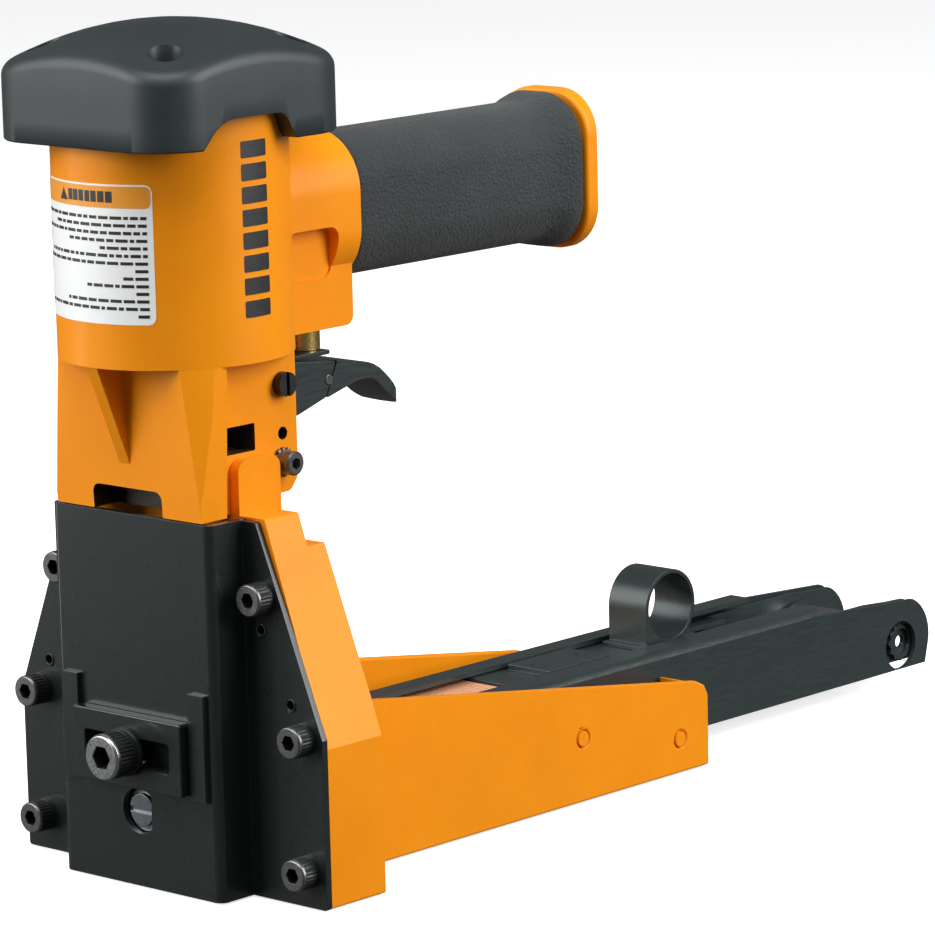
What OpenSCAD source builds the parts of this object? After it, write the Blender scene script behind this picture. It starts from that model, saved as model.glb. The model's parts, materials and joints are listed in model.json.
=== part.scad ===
// Pneumatic carton stapler with a bottom clincher, millimetres, +Z up.
// The origin is the middle of the nose's bottom face. The cover faces -Y,
// the handle and the magazine run towards +Y, and X is across the tool.

/* [Cylinder] */
// Outer radius of the cast cylinder
cyl_r = 32.7; // [31:0.1:34]
// Distance of the cylinder's axis behind the nose
cyl_y = 6.5; // [5:0.5:8]
// Height of the cylinder's lower rim
rim_z = 147.6; // [146:0.2:149]
// Height of the face that the cap sits on
cap_seat_z = 216; // [214:0.5:218]
// Inner radius of the liner that the piston runs in
liner_bore_r = 25.2; // [24.5:0.1:25.5]

/* [Cap] */
// Half of the cap's width
cap_half = 36.5; // [36:0.1:38]
// Radius of the cap's corners
cap_corner_r = 15; // [12:0.5:18]
// Height of the top of the dome
cap_top_z = 239.4; // [236:0.2:242]
// Height of the cap's lower edge
cap_skirt_z = 207.6; // [206:0.2:209]
// Distance of each cap screw from the cap's middle, along X and along Y
cap_screw_at = 23.5; // [23:0.1:24]

/* [Handle] */
// Height of the handle's axis
grip_z = 181.7; // [180:0.1:183]
// Half of the grip's height
grip_half_h = 20.6; // [20:0.1:22]
// Half of the grip's width
grip_half_w = 16.5; // [15.5:0.1:17]
// Rear end of the grip sleeve
grip_end_y = 158; // [156:0.2:159]
// Radius of the tapped air inlet
inlet_r = 5.55; // [5:0.05:6]

/* [Nose] */
// Half of the width of the cover's raised face
cover_half = 31.3; // [31:0.1:32]
// Height of the cover
cover_h = 105.3; // [105:0.1:105.5]
// Distance of the cover's raised face in front of the origin
cover_front = 14; // [13.5:0.1:15]
// Half of the nose's full width at the floor
nose_half = 59; // [58:0.5:60]
// Depth of the nose frame at the floor
nose_depth = 22; // [21:0.5:22.5]

/* [Magazine] */
// Half of the width over the magazine's side plates
rail_half = 19.5; // [19.4:0.1:19.6]
// Rear end of the magazine
rail_end_y = 317.8; // [300:0.1:325]
// Rear end of the rolled top edges
rolled_end_y = 263; // [240:1:270]
// Half of the width of the cast magazine guard
guard_half = 37; // [36:0.5:38]
// Rear face of the cast magazine guard
guard_end_y = 187; // [180:0.5:190]

/* [Motion] */
// Stroke of the piston and the driver
stroke = 36; // [34:0.5:36]
// Turn of each clincher over the full stroke, in degrees
clinch_deg = 43; // [40:0.5:44]
// Sideways distance of each clincher's pivot
pivot_x = 17; // [17:0.1:17.2]
// Height of each clincher's pivot
pivot_z = 25; // [25:0.1:25.2]

/* [Hidden] */

$fn = 48;
eps = 0.01;
sheet = 2;
orange = "#f5920f";
black = "#20262a";
steel = "#9aa0a4";
rubber = "#1b1d1f";
brass = "#c8a24a";
copper = "#d9825b";

cap_y = 7;
dome_r = 94;
cap_wall_z = 226;
cap_recess_r = 4.8;
cyl_wall = 4.3;
gasket_t = 0.8;
seal_r = 27.3;
liner_wall = 2.6;
liner_top_z = 212;
liner_bot_z = 152;
bumper_z = 150.2;
body_half = 28.2;
body_front = 14;
body_bot_z = 105.7;
cheek_half = 25.2;
cheek_end_y = 27;
cheek_bot_z = 108.6;
wing_back = 0.4;
pocket_y = 5.5;
blade_y = 6.5;
blade_half_w = 17.4;
blade_t = 1.8;
blade_tip_z = 36.9;
yoke_x = 32;
roller_r = 2.8;
roller_z = pivot_z + stroke / 2;
track_half = 15.8;
drum_y = 290.5;
drum_z = 16.6;
drum_r = 8.6;
plate_hole = [303.2, 13.6, 7.7];
plate_end = [304.4, 15.2, 13.4];
trigger_y = 21.4;
trigger_z = 138.9;
valve_y = 55.2;
boss_bot_z = 149;
plunger_r = 5.4;
valve_r = 6.3;
pad_top_z = 141.6;
lever_pin_y = 58;
lever_pin_z = 133.2;
side_screw_y = 20.9;
side_screw_z = 117.2;
cover_screw_at = [[52.2, 10], [52.2, 47], [38.4, 84.6]];
dowel_at = [[47.9, 55.8], [37.5, 75.4]];
guard_pin_at = [[130, 19.3], [173.7, 10.7]];
adjust_z = 39.3;
dial_z = 21.6;
tube_end_y = 158;
end_screw_at = [[-8.4, 13.1], [8.4, 13.1], [-8.4, -13.1], [8.4, -13.1]];
flange_t = 5.2;

// ---------- helpers ----------

// A bar whose round section lies in the XZ plane, from y0 to y1
module along_y(y0, y1) translate([0, y1, 0]) rotate([90, 0, 0]) linear_extrude(y1 - y0) children();

// A bar whose outline is drawn as (y, z), from x0 to x1
module along_x(x0, x1) translate([x0, 0, 0]) rotate([90, 0, 90]) linear_extrude(x1 - x0) children();

module both_sides() { children(); mirror([1, 0, 0]) children(); }

module peg_y(x, z, r, y0, y1) translate([x, y0, z]) rotate([-90, 0, 0]) cylinder(r = r, h = y1 - y0);

module peg_x(y, z, r, x0, x1) translate([x0, y, z]) rotate([0, 90, 0]) cylinder(r = r, h = x1 - x0);

module peg_z(x, y, r, z0, z1) translate([x, y, z0]) cylinder(r = r, h = z1 - z0);

module rounded(w, h, r) offset(r) offset(-r) square([w, h], center = true);

// A socket head screw along +Z, with the head's top at z = head_h
module socket_screw(head_r, head_h, shank_r, shank_l, key) difference() {
    union() {
        cylinder(r = head_r, h = head_h - 0.5);
        translate([0, 0, head_h - 0.5]) cylinder(r1 = head_r, r2 = head_r - 0.5, h = 0.5);
        translate([0, 0, -shank_l]) cylinder(r = shank_r, h = shank_l + eps);
    }
    translate([0, 0, head_h * 0.4]) cylinder(d = key / cos(30), h = head_h, $fn = 6);
}

module o_ring(ring_r, wire_r) rotate_extrude() translate([ring_r, 0]) circle(wire_r, $fn = 24);

// A spring drawn as stacked rings with a thin bar that joins them
module ring_spring(coil_r, wire_r, height, turns) {
    pitch = (height - 2 * wire_r) / (turns - 1);
    for (i = [0:turns - 1]) translate([0, 0, wire_r + i * pitch]) o_ring(coil_r, wire_r);
    translate([coil_r, 0, wire_r]) cylinder(r = wire_r * 0.6, h = height - 2 * wire_r);
}

// ---------- casting ----------

module cap_screw_places() for (sx = [-1, 1], sy = [-1, 1])
    translate([sx * cap_screw_at, cap_y + sy * cap_screw_at, 0]) children();

module handle_section(grow = 0) rounded(2 * (grip_half_w + grow), 2 * (grip_half_h + grow), 15.5 + grow);

// The casting below the rim: its drafted front, the cheeks behind it and the middle rib
module lower_body() {
    difference() {
        union() {
            intersection() {
                along_x(-40, 40) polygon([[-body_front, body_bot_z], [-body_front - 2, rim_z + 2], [-4, rim_z + 2],
                    [-4, body_bot_z]]);
                along_y(-30, 10) polygon([[-body_half, body_bot_z], [body_half, body_bot_z],
                    [body_half + 2, rim_z + 2], [-body_half - 2, rim_z + 2]]);
                translate([0, cyl_y, body_bot_z - 1]) cylinder(r1 = 35.3, r2 = 32.55, h = rim_z - body_bot_z + 3, $fn = 96);
            }
            translate([-cheek_half, -body_front + 5, body_bot_z]) cube([2 * cheek_half, 22, rim_z - body_bot_z + 1]);
            both_sides() along_x(9, cheek_half) offset(3) offset(-3) polygon([[8, cheek_bot_z],
                [cheek_end_y - 3, cheek_bot_z], [cheek_end_y, cheek_bot_z + 4], [cheek_end_y, rim_z + 8],
                [8, rim_z + 8]]);
        }
        // Window in the front face, and the windows in the cheeks
        along_y(-body_front - 5, -body_front + 9) translate([0, body_bot_z]) rounded(27, 14, 2.5);
        along_x(-40, 40) translate([4.8, 125.8]) rounded(11.6, 7.6, 0.6);
    }
    along_x(-2, 2) polygon([[-body_front + 1, rim_z + 1], [-25.8, rim_z + 1], [-25.4, rim_z - 1],
        [-body_front - 0.7, 119.5], [-body_front + 1, 117]]);
}

// The neck behind the cylinder, the valve boss and the handle tube
module handle_body() {
    along_y(cyl_y + 20, 63) translate([0, grip_z]) handle_section(1);
    along_y(62.5, tube_end_y) translate([0, grip_z]) handle_section(-3);
    along_x(-14, 14) offset(3) offset(-3) polygon([[cyl_y + 18, boss_bot_z], [62.3, boss_bot_z],
        [62.3, grip_z], [cyl_y + 18, grip_z]]);
}

module main_housing() color(orange) difference() {
    union() {
        peg_z(0, cyl_y, cyl_r, rim_z, cap_seat_z);
        intersection() {
            cap_screw_places() peg_z(0, 0, 7, cap_skirt_z + 1, cap_seat_z);
            translate([-32, cap_y - 32, 200]) cube([64, 64, 20]);
        }
        lower_body();
        handle_body();
    }
    // Cylinder bore, its floor and the slot that the driver passes through
    peg_z(0, cyl_y, cyl_r - cyl_wall, rim_z + 2, cap_seat_z + 1);
    translate([-18.6, blade_y - 3.2, body_bot_z - 1]) cube([37.2, 6.4, rim_z - body_bot_z + 6]);
    cap_screw_places() peg_z(0, 0, 2.1, cap_skirt_z + 1.9, cap_seat_z + 1);
    // Hollow handle, the port into the cylinder, and the valve's bore
    along_y(57, tube_end_y + 1) translate([0, grip_z]) handle_section(-7);
    for (p = end_screw_at) peg_y(p[0], grip_z + p[1], 1.6, tube_end_y - 14.3, tube_end_y + 1);
    peg_y(0, 192, 4.5, cyl_y + 25, 60);
    peg_z(0, valve_y, valve_r + 0.05, boss_bot_z - 1, 172);
    peg_z(0, valve_y, 4, 171, grip_z);
    peg_y(0, 168, 3, cyl_y + 25, valve_y);
    // Side pockets of the neck, and the gap between the cheeks for the trigger
    both_sides() along_x(13.4, 24) translate([cyl_y + 37.2, 170.8]) rounded(20.4, 14.6, 3.5);
    translate([-10, 12.4, cheek_bot_z - 4]) cube([20, 30, boss_bot_z - cheek_bot_z + 1]);
    peg_x(trigger_y, trigger_z, 2.5, -40, 40);
    peg_x(21.4, 125.1, 1.8, -40, 40);
    peg_x(side_screw_y, side_screw_z, 1.9, -40, 40);
}

module top_cap() color(black) difference() {
    intersection() {
        translate([0, cap_y, cap_skirt_z]) linear_extrude(40) rounded(2 * cap_half, 2 * cap_half, cap_corner_r);
        translate([0, cap_y, cap_top_z - dome_r]) sphere(dome_r, $fn = 96);
    }
    // Hollow for the head valve, the skirt's hollow and the arched side cut-outs
    peg_z(0, cyl_y, 25.6, cap_seat_z - 10, cap_wall_z);
    peg_z(0, cyl_y, cyl_r + 0.35, cap_skirt_z - 1, cap_seat_z + gasket_t);
    intersection() {
        cap_screw_places() peg_z(0, 0, 7.35, cap_skirt_z - 1, cap_seat_z + gasket_t);
        translate([-32.3, cap_y - 32.3, 200]) cube([64.6, 64.6, 20]);
    }
    both_sides() along_x(20, 40) polygon([[-16, cap_skirt_z - 1], [-11, 213], [-6, 215.2], [15, 215.2],
        [18, 209.5], [20, cap_skirt_z - 1]]);
    along_y(cap_y + 15, 60) polygon([[-19, cap_skirt_z - 1], [-19, 213], [19, 213], [19, cap_skirt_z - 1]]);
    cap_screw_places() peg_z(0, 0, cap_recess_r, cap_wall_z, 245);
    cap_screw_places() peg_z(0, 0, 4.4, cap_wall_z - 2, 245);
    cap_screw_places() peg_z(0, 0, 2.8, 200, 245);
}

module cap_screws() color(steel) cap_screw_places() translate([0, 0, cap_wall_z - 2]) socket_screw(4.3, 4.5, 2.05, 14, 4);

module cap_gasket() color(rubber) translate([0, cyl_y, cap_seat_z]) difference() {
    cylinder(r = cyl_r - 0.2, h = gasket_t);
    translate([0, 0, -1]) cylinder(r = cyl_r - cyl_wall, h = 3);
    cap_screw_places() translate([0, -cyl_y, -2]) cylinder(r = 2.8, h = 5);
}

module cylinder_liner() color("#b9bec2") difference() {
    union() {
        peg_z(0, cyl_y, liner_bore_r + liner_wall, liner_bot_z, liner_top_z);
        peg_z(0, cyl_y, cyl_r - cyl_wall - 0.05, liner_top_z - 5, liner_top_z);
        peg_z(0, cyl_y, cyl_r - cyl_wall - 0.05, liner_bot_z + 10, liner_bot_z + 15);
    }
    peg_z(0, cyl_y, liner_bore_r, liner_bot_z - 1, liner_top_z + 1);
    translate([0, cyl_y, liner_top_z - 2.5]) o_ring(seal_r, 1.1);
    translate([0, cyl_y, liner_bot_z + 12.5]) o_ring(seal_r, 1.1);
    for (a = [0:45:315]) translate([0, cyl_y, 168]) rotate([90, 0, a + 22.5]) cylinder(r = 2, h = 40);
}

module liner_seals() color(rubber) for (z = [liner_top_z - 2.5, liner_bot_z + 12.5])
    translate([0, cyl_y, z]) o_ring(seal_r, 1.05);

module head_valve() color(black) translate([0, cyl_y, liner_top_z + 0.2]) rotate_extrude()
    polygon([[6, 0.8], [20, 0.8], [20, 0], [25.2, 0], [25.2, 5.4], [24, 5.4], [24, 7.4], [25.2, 7.4],
        [25.2, 9.5], [22.5, 9.5], [22.5, 5], [12, 5], [12, 9], [6, 9]]);

module head_valve_seal() color(rubber) translate([0, cyl_y, liner_top_z + 5.65]) difference() {
    cylinder(r = 25.55, h = 1.9);
    translate([0, 0, -1]) cylinder(r = 24.02, h = 4);
}

module head_valve_spring() color(steel) translate([0, cyl_y, liner_top_z + 5.3]) ring_spring(17, 0.9, 8.4, 4);

// ---------- piston and driver ----------

module bumper() color(rubber) difference() {
    peg_z(0, cyl_y, 24.9, bumper_z, bumper_z + 9);
    translate([-18, blade_y - 2.2, bumper_z - 1]) cube([36, 4.4, 12]);
}

module piston() color("#aab0b4") difference() {
    peg_z(0, cyl_y, liner_bore_r - 0.35, 197, 211);
    translate([0, cyl_y, 204]) rotate_extrude() translate([23.4, -1.6]) square([3, 3.2]);
    peg_z(0, cyl_y, 15, 206, 212);
    translate([-blade_half_w - 0.1, blade_y - blade_t / 2 - 0.05, 196]) cube([2 * blade_half_w + 0.2, blade_t + 0.1, 8]);
    translate([0, 0, 200]) rotate([90, 0, 0]) translate([0, 0, -30]) cylinder(r = 2.05, h = 60);
}

module piston_seal() color(rubber) translate([0, cyl_y, 204]) rotate_extrude() translate([23.5, -1.5]) square([1.62, 3]);

module driver_blade() color("#8d9498") difference() {
    translate([-blade_half_w, blade_y - blade_t / 2, blade_tip_z]) cube([2 * blade_half_w, blade_t, 204 - blade_tip_z - 0.1]);
    peg_y(0, 200, 2.05, blade_y - 5, blade_y + 5);
    both_sides() peg_y(12, 92, 2.05, blade_y - 5, blade_y + 5);
}

module driver_pin() color(steel) {
    peg_y(0, 200, 2, blade_y - 12, blade_y + 12);
    both_sides() peg_y(12, 92, 2, blade_y - blade_t / 2, blade_y + 4.9);
}

module clinch_yoke() color("#7d858a") difference() {
    union() {
        translate([-34.4, 7.6, 86]) cube([68.8, 4, 12]);
        both_sides() translate([29.2, 7.6, roller_z - 4.6]) cube([5.2, 4, 50]);
    }
    both_sides() peg_y(12, 92, 2.05, 7, 12);
    both_sides() peg_y(yoke_x, roller_z, 1.55, 7, 12);
}

module yoke_rollers() color(steel) both_sides() {
    peg_y(yoke_x, roller_z, roller_r, 0.9, 3.9);
    peg_y(yoke_x, roller_z, 1.5, 3.8, 11.6);
}

// ---------- nose ----------

function slant_x(z) = 74.18 - 0.3413 * z;

module frame_outline() offset(0.8) offset(-0.8) polygon([[-nose_half, 0], [nose_half, 0], [nose_half, 44.6],
    [slant_x(48), 48], [slant_x(body_bot_z), body_bot_z], [-slant_x(body_bot_z), body_bot_z],
    [-slant_x(48), 48], [-nose_half, 44.6]]);

module nose_frame() color(orange) difference() {
    union() {
        intersection() {
            along_y(wing_back, nose_depth) frame_outline();
            along_x(-70, 70) polygon([[-5, -1], [nose_depth + 1, -1], [nose_depth + 1, 50], [nose_depth, 54],
                [nose_depth - 1.8, 96.6], [13.5, 96.6], [13.5, 110], [-5, 110]]);
        }
        both_sides() along_x(25.4, 28.6) offset(3.5) offset(-3.5) polygon([[wing_back, 90], [wing_back, 120.6],
            [16.7, 120.6], [16.7, 103], [13, 98], [13, 90]]);
    }
    // Space for the yoke, the clinchers and their tips
    translate([-34.8, -1, 40]) cube([69.6, 13.2, 59.5]);
    both_sides() translate([28.7, -1, -1]) cube([6.4, 13.2, 60]);
    both_sides() peg_y(pivot_x, pivot_z, 31, -1, pocket_y);
    both_sides() intersection() {
        peg_y(pivot_x, pivot_z, 31.5, -1, 7.5);
        translate([8, -1, -1]) cube([32, 9, 12]);
    }
    // Seat of the driver guide, the driver's channel and the magazine's opening
    translate([-24.3, -1, -1]) cube([48.6, 6.5, 90]);
    translate([-18.2, 4, -1]) cube([36.4, 3.7, 108]);
    translate([-rail_half - 0.15, 7.5, -1]) cube([2 * rail_half + 0.3, 20, 34.6]);
    for (p = cover_screw_at) both_sides() peg_y(p[0], p[1], 2.2, -1, 14);
    for (p = dowel_at) both_sides() peg_y(p[0], p[1], 2.05, -1, 8);
}

module front_cover() color(black) difference() {
    union() {
        linear_extrude(cover_h) difference() {
            offset(2.6) offset(-2.6) translate([-cover_half, -cover_front]) square([2 * cover_half, cover_front + 10]);
            offset(0.6) offset(-0.6) translate([-cover_half + sheet, -cover_front + sheet])
                square([2 * cover_half - 2 * sheet, cover_front + 20]);
            translate([-cover_half - 1, wing_back]) square([2 * cover_half + 2, 30]);
        }
        both_sides() along_y(wing_back - sheet, wing_back) offset(1) offset(-1) polygon([[cover_half - sheet, 0],
            [nose_half + 0.4, 0], [nose_half + 0.4, 47.4], [36.4, 105], [cover_half - sheet, 105]]);
        both_sides() translate([21.7, -cover_front - 1.5, 28]) cube([6.2, 1.6, 30]);
    }
    for (p = cover_screw_at) both_sides() peg_y(p[0], p[1], 2.6, -5, 2);
    for (p = dowel_at) both_sides() peg_y(p[0], p[1], 2.05, -5, 2);
    // Upright slot for the adjuster's screw, and the round window of the dial
    along_y(-cover_front - 1, -cover_front + 4) translate([0, adjust_z + 2.5]) rounded(8.6, 14, 4.2);
    intersection() {
        peg_y(0, dial_z, 6.5, -cover_front - 1, -cover_front + 4);
        translate([-10, -cover_front - 2, dial_z - 10]) cube([14.7, 8, 20]);
    }
}

module cover_screws() color("#4a4f52") for (p = cover_screw_at) both_sides()
    translate([p[0], wing_back - sheet, p[1]]) rotate([90, 0, 0]) socket_screw(4.5, 6, 2.15, 14, 4);

module cover_dowels() color("#3a4045") for (p = dowel_at) both_sides() difference() {
    peg_y(p[0], p[1], 2, wing_back - sheet - 0.3, 7.5);
    peg_y(p[0], p[1], 1.2, wing_back - sheet - 1, 6);
}

// The steel block inside the cover that holds the clinchers' pins and the dial
module clincher_block() color("#5f666b") difference() {
    translate([-27, -11.9, 6]) cube([54, 12.4, 26]);
    both_sides() peg_y(pivot_x, pivot_z, 3.02, -9, 2);
    peg_y(0, dial_z, 6.6, -13, -9.9);
    peg_y(0, dial_z, 3.05, -10, -1);
}

module driver_guide() color("#868d92") difference() {
    translate([-24.1, 4, 0.2]) cube([48.2, 1.4, 88]);
    both_sides() peg_y(pivot_x, pivot_z, 3.02, 3, 6);
}

// Place of the roller in the clincher's own frame when the piston has moved by s
function slot_point(s) = let (turn = clinch_deg * s / stroke, rx = yoke_x - pivot_x, rz = roller_z - pivot_z - s)
    [rx * cos(turn) - rz * sin(turn), rx * sin(turn) + rz * cos(turn)];
function slot_normal(s) = let (d = slot_point(s + 0.1) - slot_point(s - 0.1)) [-d[1], d[0]] / norm(d);
slot_half = roller_r + 0.3;
slot_steps = [0:stroke / 12:stroke];

// The right clincher: a cam plate with a curved hook that ends in a point
module clincher() translate([pivot_x, 0, pivot_z]) difference() {
    union() {
        along_y(0.8, 3.8) hull() {
            circle(6.5);
            translate(slot_point(0)) circle(5.6);
            translate(slot_point(stroke)) circle(5.8);
        }
        along_y(0.8, 3.8) polygon([[20, 0], [28.5, -1], for (a = [-8:-4:-52]) 29.9 * [cos(a), sin(a)],
            29.9 * [cos(-55), sin(-55)], for (a = [-50:5:-20]) (26.6 + (a + 50) * 0.02) * [cos(a), sin(a)],
            [20, -6]]);
        along_y(3.5, 7.1) polygon([for (a = [-43:-3:-52]) 29.4 * [cos(a), sin(a)], 29.2 * [cos(-53), sin(-53)],
            for (a = [-50:3.5:-43]) 27.5 * [cos(a), sin(a)]]);
    }
    peg_y(0, 0, 3.05, -1, 9);
    along_y(-1, 9) polygon(concat([for (s = slot_steps) slot_point(s) + slot_half * slot_normal(s)],
        [for (s = slot_steps) slot_point(stroke - s) - slot_half * slot_normal(stroke - s)]));
    for (s = [0, stroke]) peg_y(slot_point(s)[0], slot_point(s)[1], slot_half - 0.03, -1, 9);
}

module right_clincher() color("#6c7479") clincher();

module left_clincher() color("#6c7479") mirror([1, 0, 0]) clincher();

module clincher_pins() color(steel) both_sides() peg_y(pivot_x, pivot_z, 3, -9, 5.4);

module adjuster_plate() color(black) difference() {
    along_y(-cover_front - 4.2, -cover_front - 0.1) translate([0, adjust_z]) rounded(42.4, 20.6, 1);
    along_y(-cover_front - 5, -cover_front + 1) translate([0, adjust_z]) rounded(33, 8.2, 0.8);
}

module adjuster_collar() color(black) difference() {
    peg_y(0, adjust_z, 6.9, -cover_front - 5.9, -cover_front - 4.2);
    peg_y(0, adjust_z, 4.05, -cover_front - 7, -cover_front);
}

module adjuster_screw() color(steel) translate([0, -cover_front - 5.9, adjust_z]) rotate([90, 0, 0])
    socket_screw(6.5, 8, 3.9, 15.2, 6);

module adjuster_nut() color("#5f666b") difference() {
    translate([-9, -cover_front + sheet + 0.1, adjust_z - 6]) cube([18, 7, 12]);
    peg_y(0, adjust_z, 3.92, -cover_front, 0);
}

module clinch_dial() color("#b9b9ad") difference() {
    union() {
        peg_y(0, dial_z, 6.2, -cover_front + sheet + 0.1, -10.1);
        peg_y(0, dial_z, 4.6, -cover_front + 0.7, -cover_front + sheet + 0.2);
        peg_y(0, dial_z, 3, -10.2, -2);
    }
    translate([-8, -cover_front - 1, dial_z - 0.7]) cube([14, 2.6, 1.4]);
}

// ---------- magazine ----------

function guard_top(y) = 50.4 - 0.1486 * (y - 22.6);

module guard_side() polygon([[nose_depth, 0.3], [guard_end_y, 0.3], [guard_end_y, guard_top(guard_end_y) - 4],
    [guard_end_y - 1.5, guard_top(guard_end_y) - 1], [guard_end_y - 5, guard_top(guard_end_y - 5)],
    [nose_depth, guard_top(nose_depth)]]);

module magazine_guard() color(orange) difference() {
    along_x(-guard_half, guard_half) guard_side();
    translate([-guard_half + 3, nose_depth - 1, 3.4]) cube([2 * guard_half - 6, guard_end_y - nose_depth - 2, 60]);
    translate([-rail_half - 0.4, nose_depth - 2, 5.6]) cube([2 * rail_half + 0.8, guard_end_y, 60]);
    for (p = guard_pin_at) peg_x(p[0], p[1], 1.85, -40, 40);
    for (p = guard_pin_at) both_sides() peg_x(p[0], p[1], 2.65, guard_half - 0.6, 40);
}

module guard_dowels() color(orange) for (p = guard_pin_at) both_sides() {
    peg_x(p[0], p[1], 1.8, rail_half - 1.4, guard_half - 0.6);
    peg_x(p[0], p[1], 2.3, guard_half - 0.6, guard_half + 0.15);
}

// Side view of one magazine plate, with its rounded rear end
module plate_side(y0, top) difference() {
    polygon(concat([[y0, 5.8], [315.8, 5.8]], [for (a = [-18:6:66])
        [plate_end[0], plate_end[1]] + plate_end[2] * [cos(a), sin(a)]],
        [[302.3, top - 1.5], [262, top + 0.9], [y0, top + 0.9]]));
    translate([plate_hole[0], plate_hole[1]]) circle(plate_hole[2]);
}

module magazine_channel() color(black) difference() {
    union() {
        both_sides() along_x(18, rail_half) plate_side(8, 29.4);
        translate([-rail_half, 8, 5.8]) cube([2 * rail_half, 276, 1.5]);
        both_sides() along_y(8, rolled_end_y) difference() {
            union() {
                translate([9.9, 30.9]) square([6.7, 1.5]);
                translate([16.6, 29.5]) intersection() { circle(2.9); square(3); }
                translate([18, 29]) square([1.5, 0.6]);
            }
            translate([16.6, 29.5]) intersection() { circle(1.4); square(3); }
        }
    }
    for (p = guard_pin_at) peg_x(p[0], p[1], 1.82, -30, 30);
}

// The inner rail that the staples straddle, with ears that carry the spring
module staple_track() color("#3b4247") difference() {
    union() {
        translate([-track_half, 8.2, 26.9]) cube([2 * track_half, 240, 1.4]);
        both_sides() translate([track_half - 1.4, 8.2, 7.4]) cube([1.4, 240, 20]);
        both_sides() along_x(track_half - 1.4, track_half) difference() {
            polygon(concat([[240, 7.4], [314.4, 7.4]], [for (a = [-18:6:66])
                [plate_end[0], plate_end[1]] + (plate_end[2] - 0.4) * [cos(a), sin(a)]],
                [[302.3, 27.4], [290, 28.3], [240, 28.3]]));
            translate([plate_hole[0] + 4, plate_hole[1]]) circle(2);
        }
        // Toothed bosses that show in the plates' round holes
        both_sides() along_x(track_half - 0.2, track_half + 1.6) translate([plate_hole[0] + 3, plate_hole[1] + 0.4])
            difference() {
                polygon([for (a = [0:15:345]) (6.4 - (a / 15) % 2) * [cos(a), sin(a)]]);
                circle(4.2);
            }
    }
    peg_x(drum_y, drum_z, 2.02, -20, 20);
    translate([-7.5, 200, 20]) cube([15, 60, 12]);
}

module staple_strip() color(copper) along_y(8.2, 132.6) difference() {
    translate([-17.4, 10]) square([34.8, 19.3]);
    translate([-16.3, 9]) square([32.6, 19.4]);
}

module pusher() color(black) {
    translate([-17.2, 133, 28.5]) cube([34.4, 84, 2]);
    both_sides() translate([16.2, 133, 12]) cube([1.2, 60, 17]);
    along_y(133, 134.5) both_sides() translate([16, 12]) square([1.4, 17]);
    along_x(-8.3, 8.3) polygon([[147.5, 30.4], [175, 30.4], [175, 31.9], [174.4, 32.4], [147.5, 32.4]]);
    translate([-6, 205, 24.4]) cube([12, 7.2, 4.2]);
}

module pusher_rivets() color(black) for (y = [152, 171.5]) translate([0, y, 32.4]) {
    cylinder(r1 = 2.6, r2 = 1.9, h = 0.5);
}

module finger_ring() color(black) {
    along_x(-7.6, 7.6) translate([204.6, 42]) difference() {
        union() {
            circle(11.5);
            translate([-11.5, -11.2]) square([11.5, 11.2]);
        }
        circle(10.2);
    }
    translate([-7.6, 190, 30.5]) cube([15.2, 26, 1.3]);
}

module spring_drum() color("#6f777c") difference() {
    peg_x(drum_y, drum_z, drum_r, -13, 13);
    peg_x(drum_y, drum_z, 2.05, -20, 20);
}

module drum_axle() color(steel) peg_x(drum_y, drum_z, 2, -track_half - 0.8, track_half + 0.8);

module spring_band() color("#8d9599") translate([-6, 212.2, drum_z + drum_r + 0.05]) cube([12, drum_y - 212.2, 0.3]);

// ---------- handle ----------

module grip_sleeve() color(rubber) difference() {
    union() {
        along_y(63.2, 152) translate([0, grip_z]) handle_section(0);
        hull() {
            along_y(150, 151) translate([0, grip_z]) handle_section(0);
            along_y(155.5, grip_end_y) translate([0, grip_z]) rounded(2 * grip_half_w + 3, 2 * grip_half_h + 4.8, 14);
        }
    }
    along_y(60, 170) translate([0, grip_z]) handle_section(-2.9);
}

module handle_end_cap() color(orange) difference() {
    along_y(tube_end_y + 0.6, tube_end_y + 0.6 + flange_t) translate([0, grip_z])
        rounded(2 * grip_half_w + 3, 2 * grip_half_h + 6.2, 13.5);
    peg_y(0, grip_z, 9.1, 150, 170);
    for (p = end_screw_at) peg_y(p[0], grip_z + p[1], 1.7, 150, 170);
}

module end_cap_gasket() color(rubber) difference() {
    along_y(tube_end_y, tube_end_y + 0.6) translate([0, grip_z]) handle_section(-3);
    along_y(150, 170) translate([0, grip_z]) handle_section(-7);
    for (p = end_screw_at) peg_y(p[0], grip_z + p[1], 1.7, 150, 170);
}

module end_cap_screws() color(steel) for (p = end_screw_at)
    translate([p[0], tube_end_y + 0.6 + flange_t, grip_z + p[1]]) rotate([-90, 0, 0]) socket_screw(3, 2.8, 1.6, 14, 2.5);

module inlet_bush() color(brass) difference() {
    union() {
        peg_y(0, grip_z, 9.05, tube_end_y - 6, tube_end_y + 0.6 + flange_t);
        along_y(tube_end_y + 0.6 + flange_t, tube_end_y + 3.6 + flange_t) translate([0, grip_z]) circle(10.5, $fn = 6);
    }
    peg_y(0, grip_z, inlet_r, tube_end_y - 10, tube_end_y + 20);
}

// ---------- trigger ----------

module trigger_arm() color(black) difference() {
    along_x(-8, 8) offset(1) offset(-1) polygon([[trigger_y - 5, trigger_z - 4], [trigger_y - 2, trigger_z + 5],
        [45.8, 139.9], [61.2, 138.2], [56.6, 128.2], [45.1, 124.7], [30, 127]]);
    along_x(-6.5, 6.5) polygon([[trigger_y - 10, 120], [62, 120], [63, 136.2], [46, 138.2],
        [trigger_y - 10, 138.2]]);
    translate([-6.5, trigger_y - 10, 130]) cube([13, 16, 20]);
    peg_x(trigger_y, trigger_z, 2.56, -20, 20);
    peg_x(lever_pin_y, lever_pin_z, 1.52, -20, 20);
}

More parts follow.
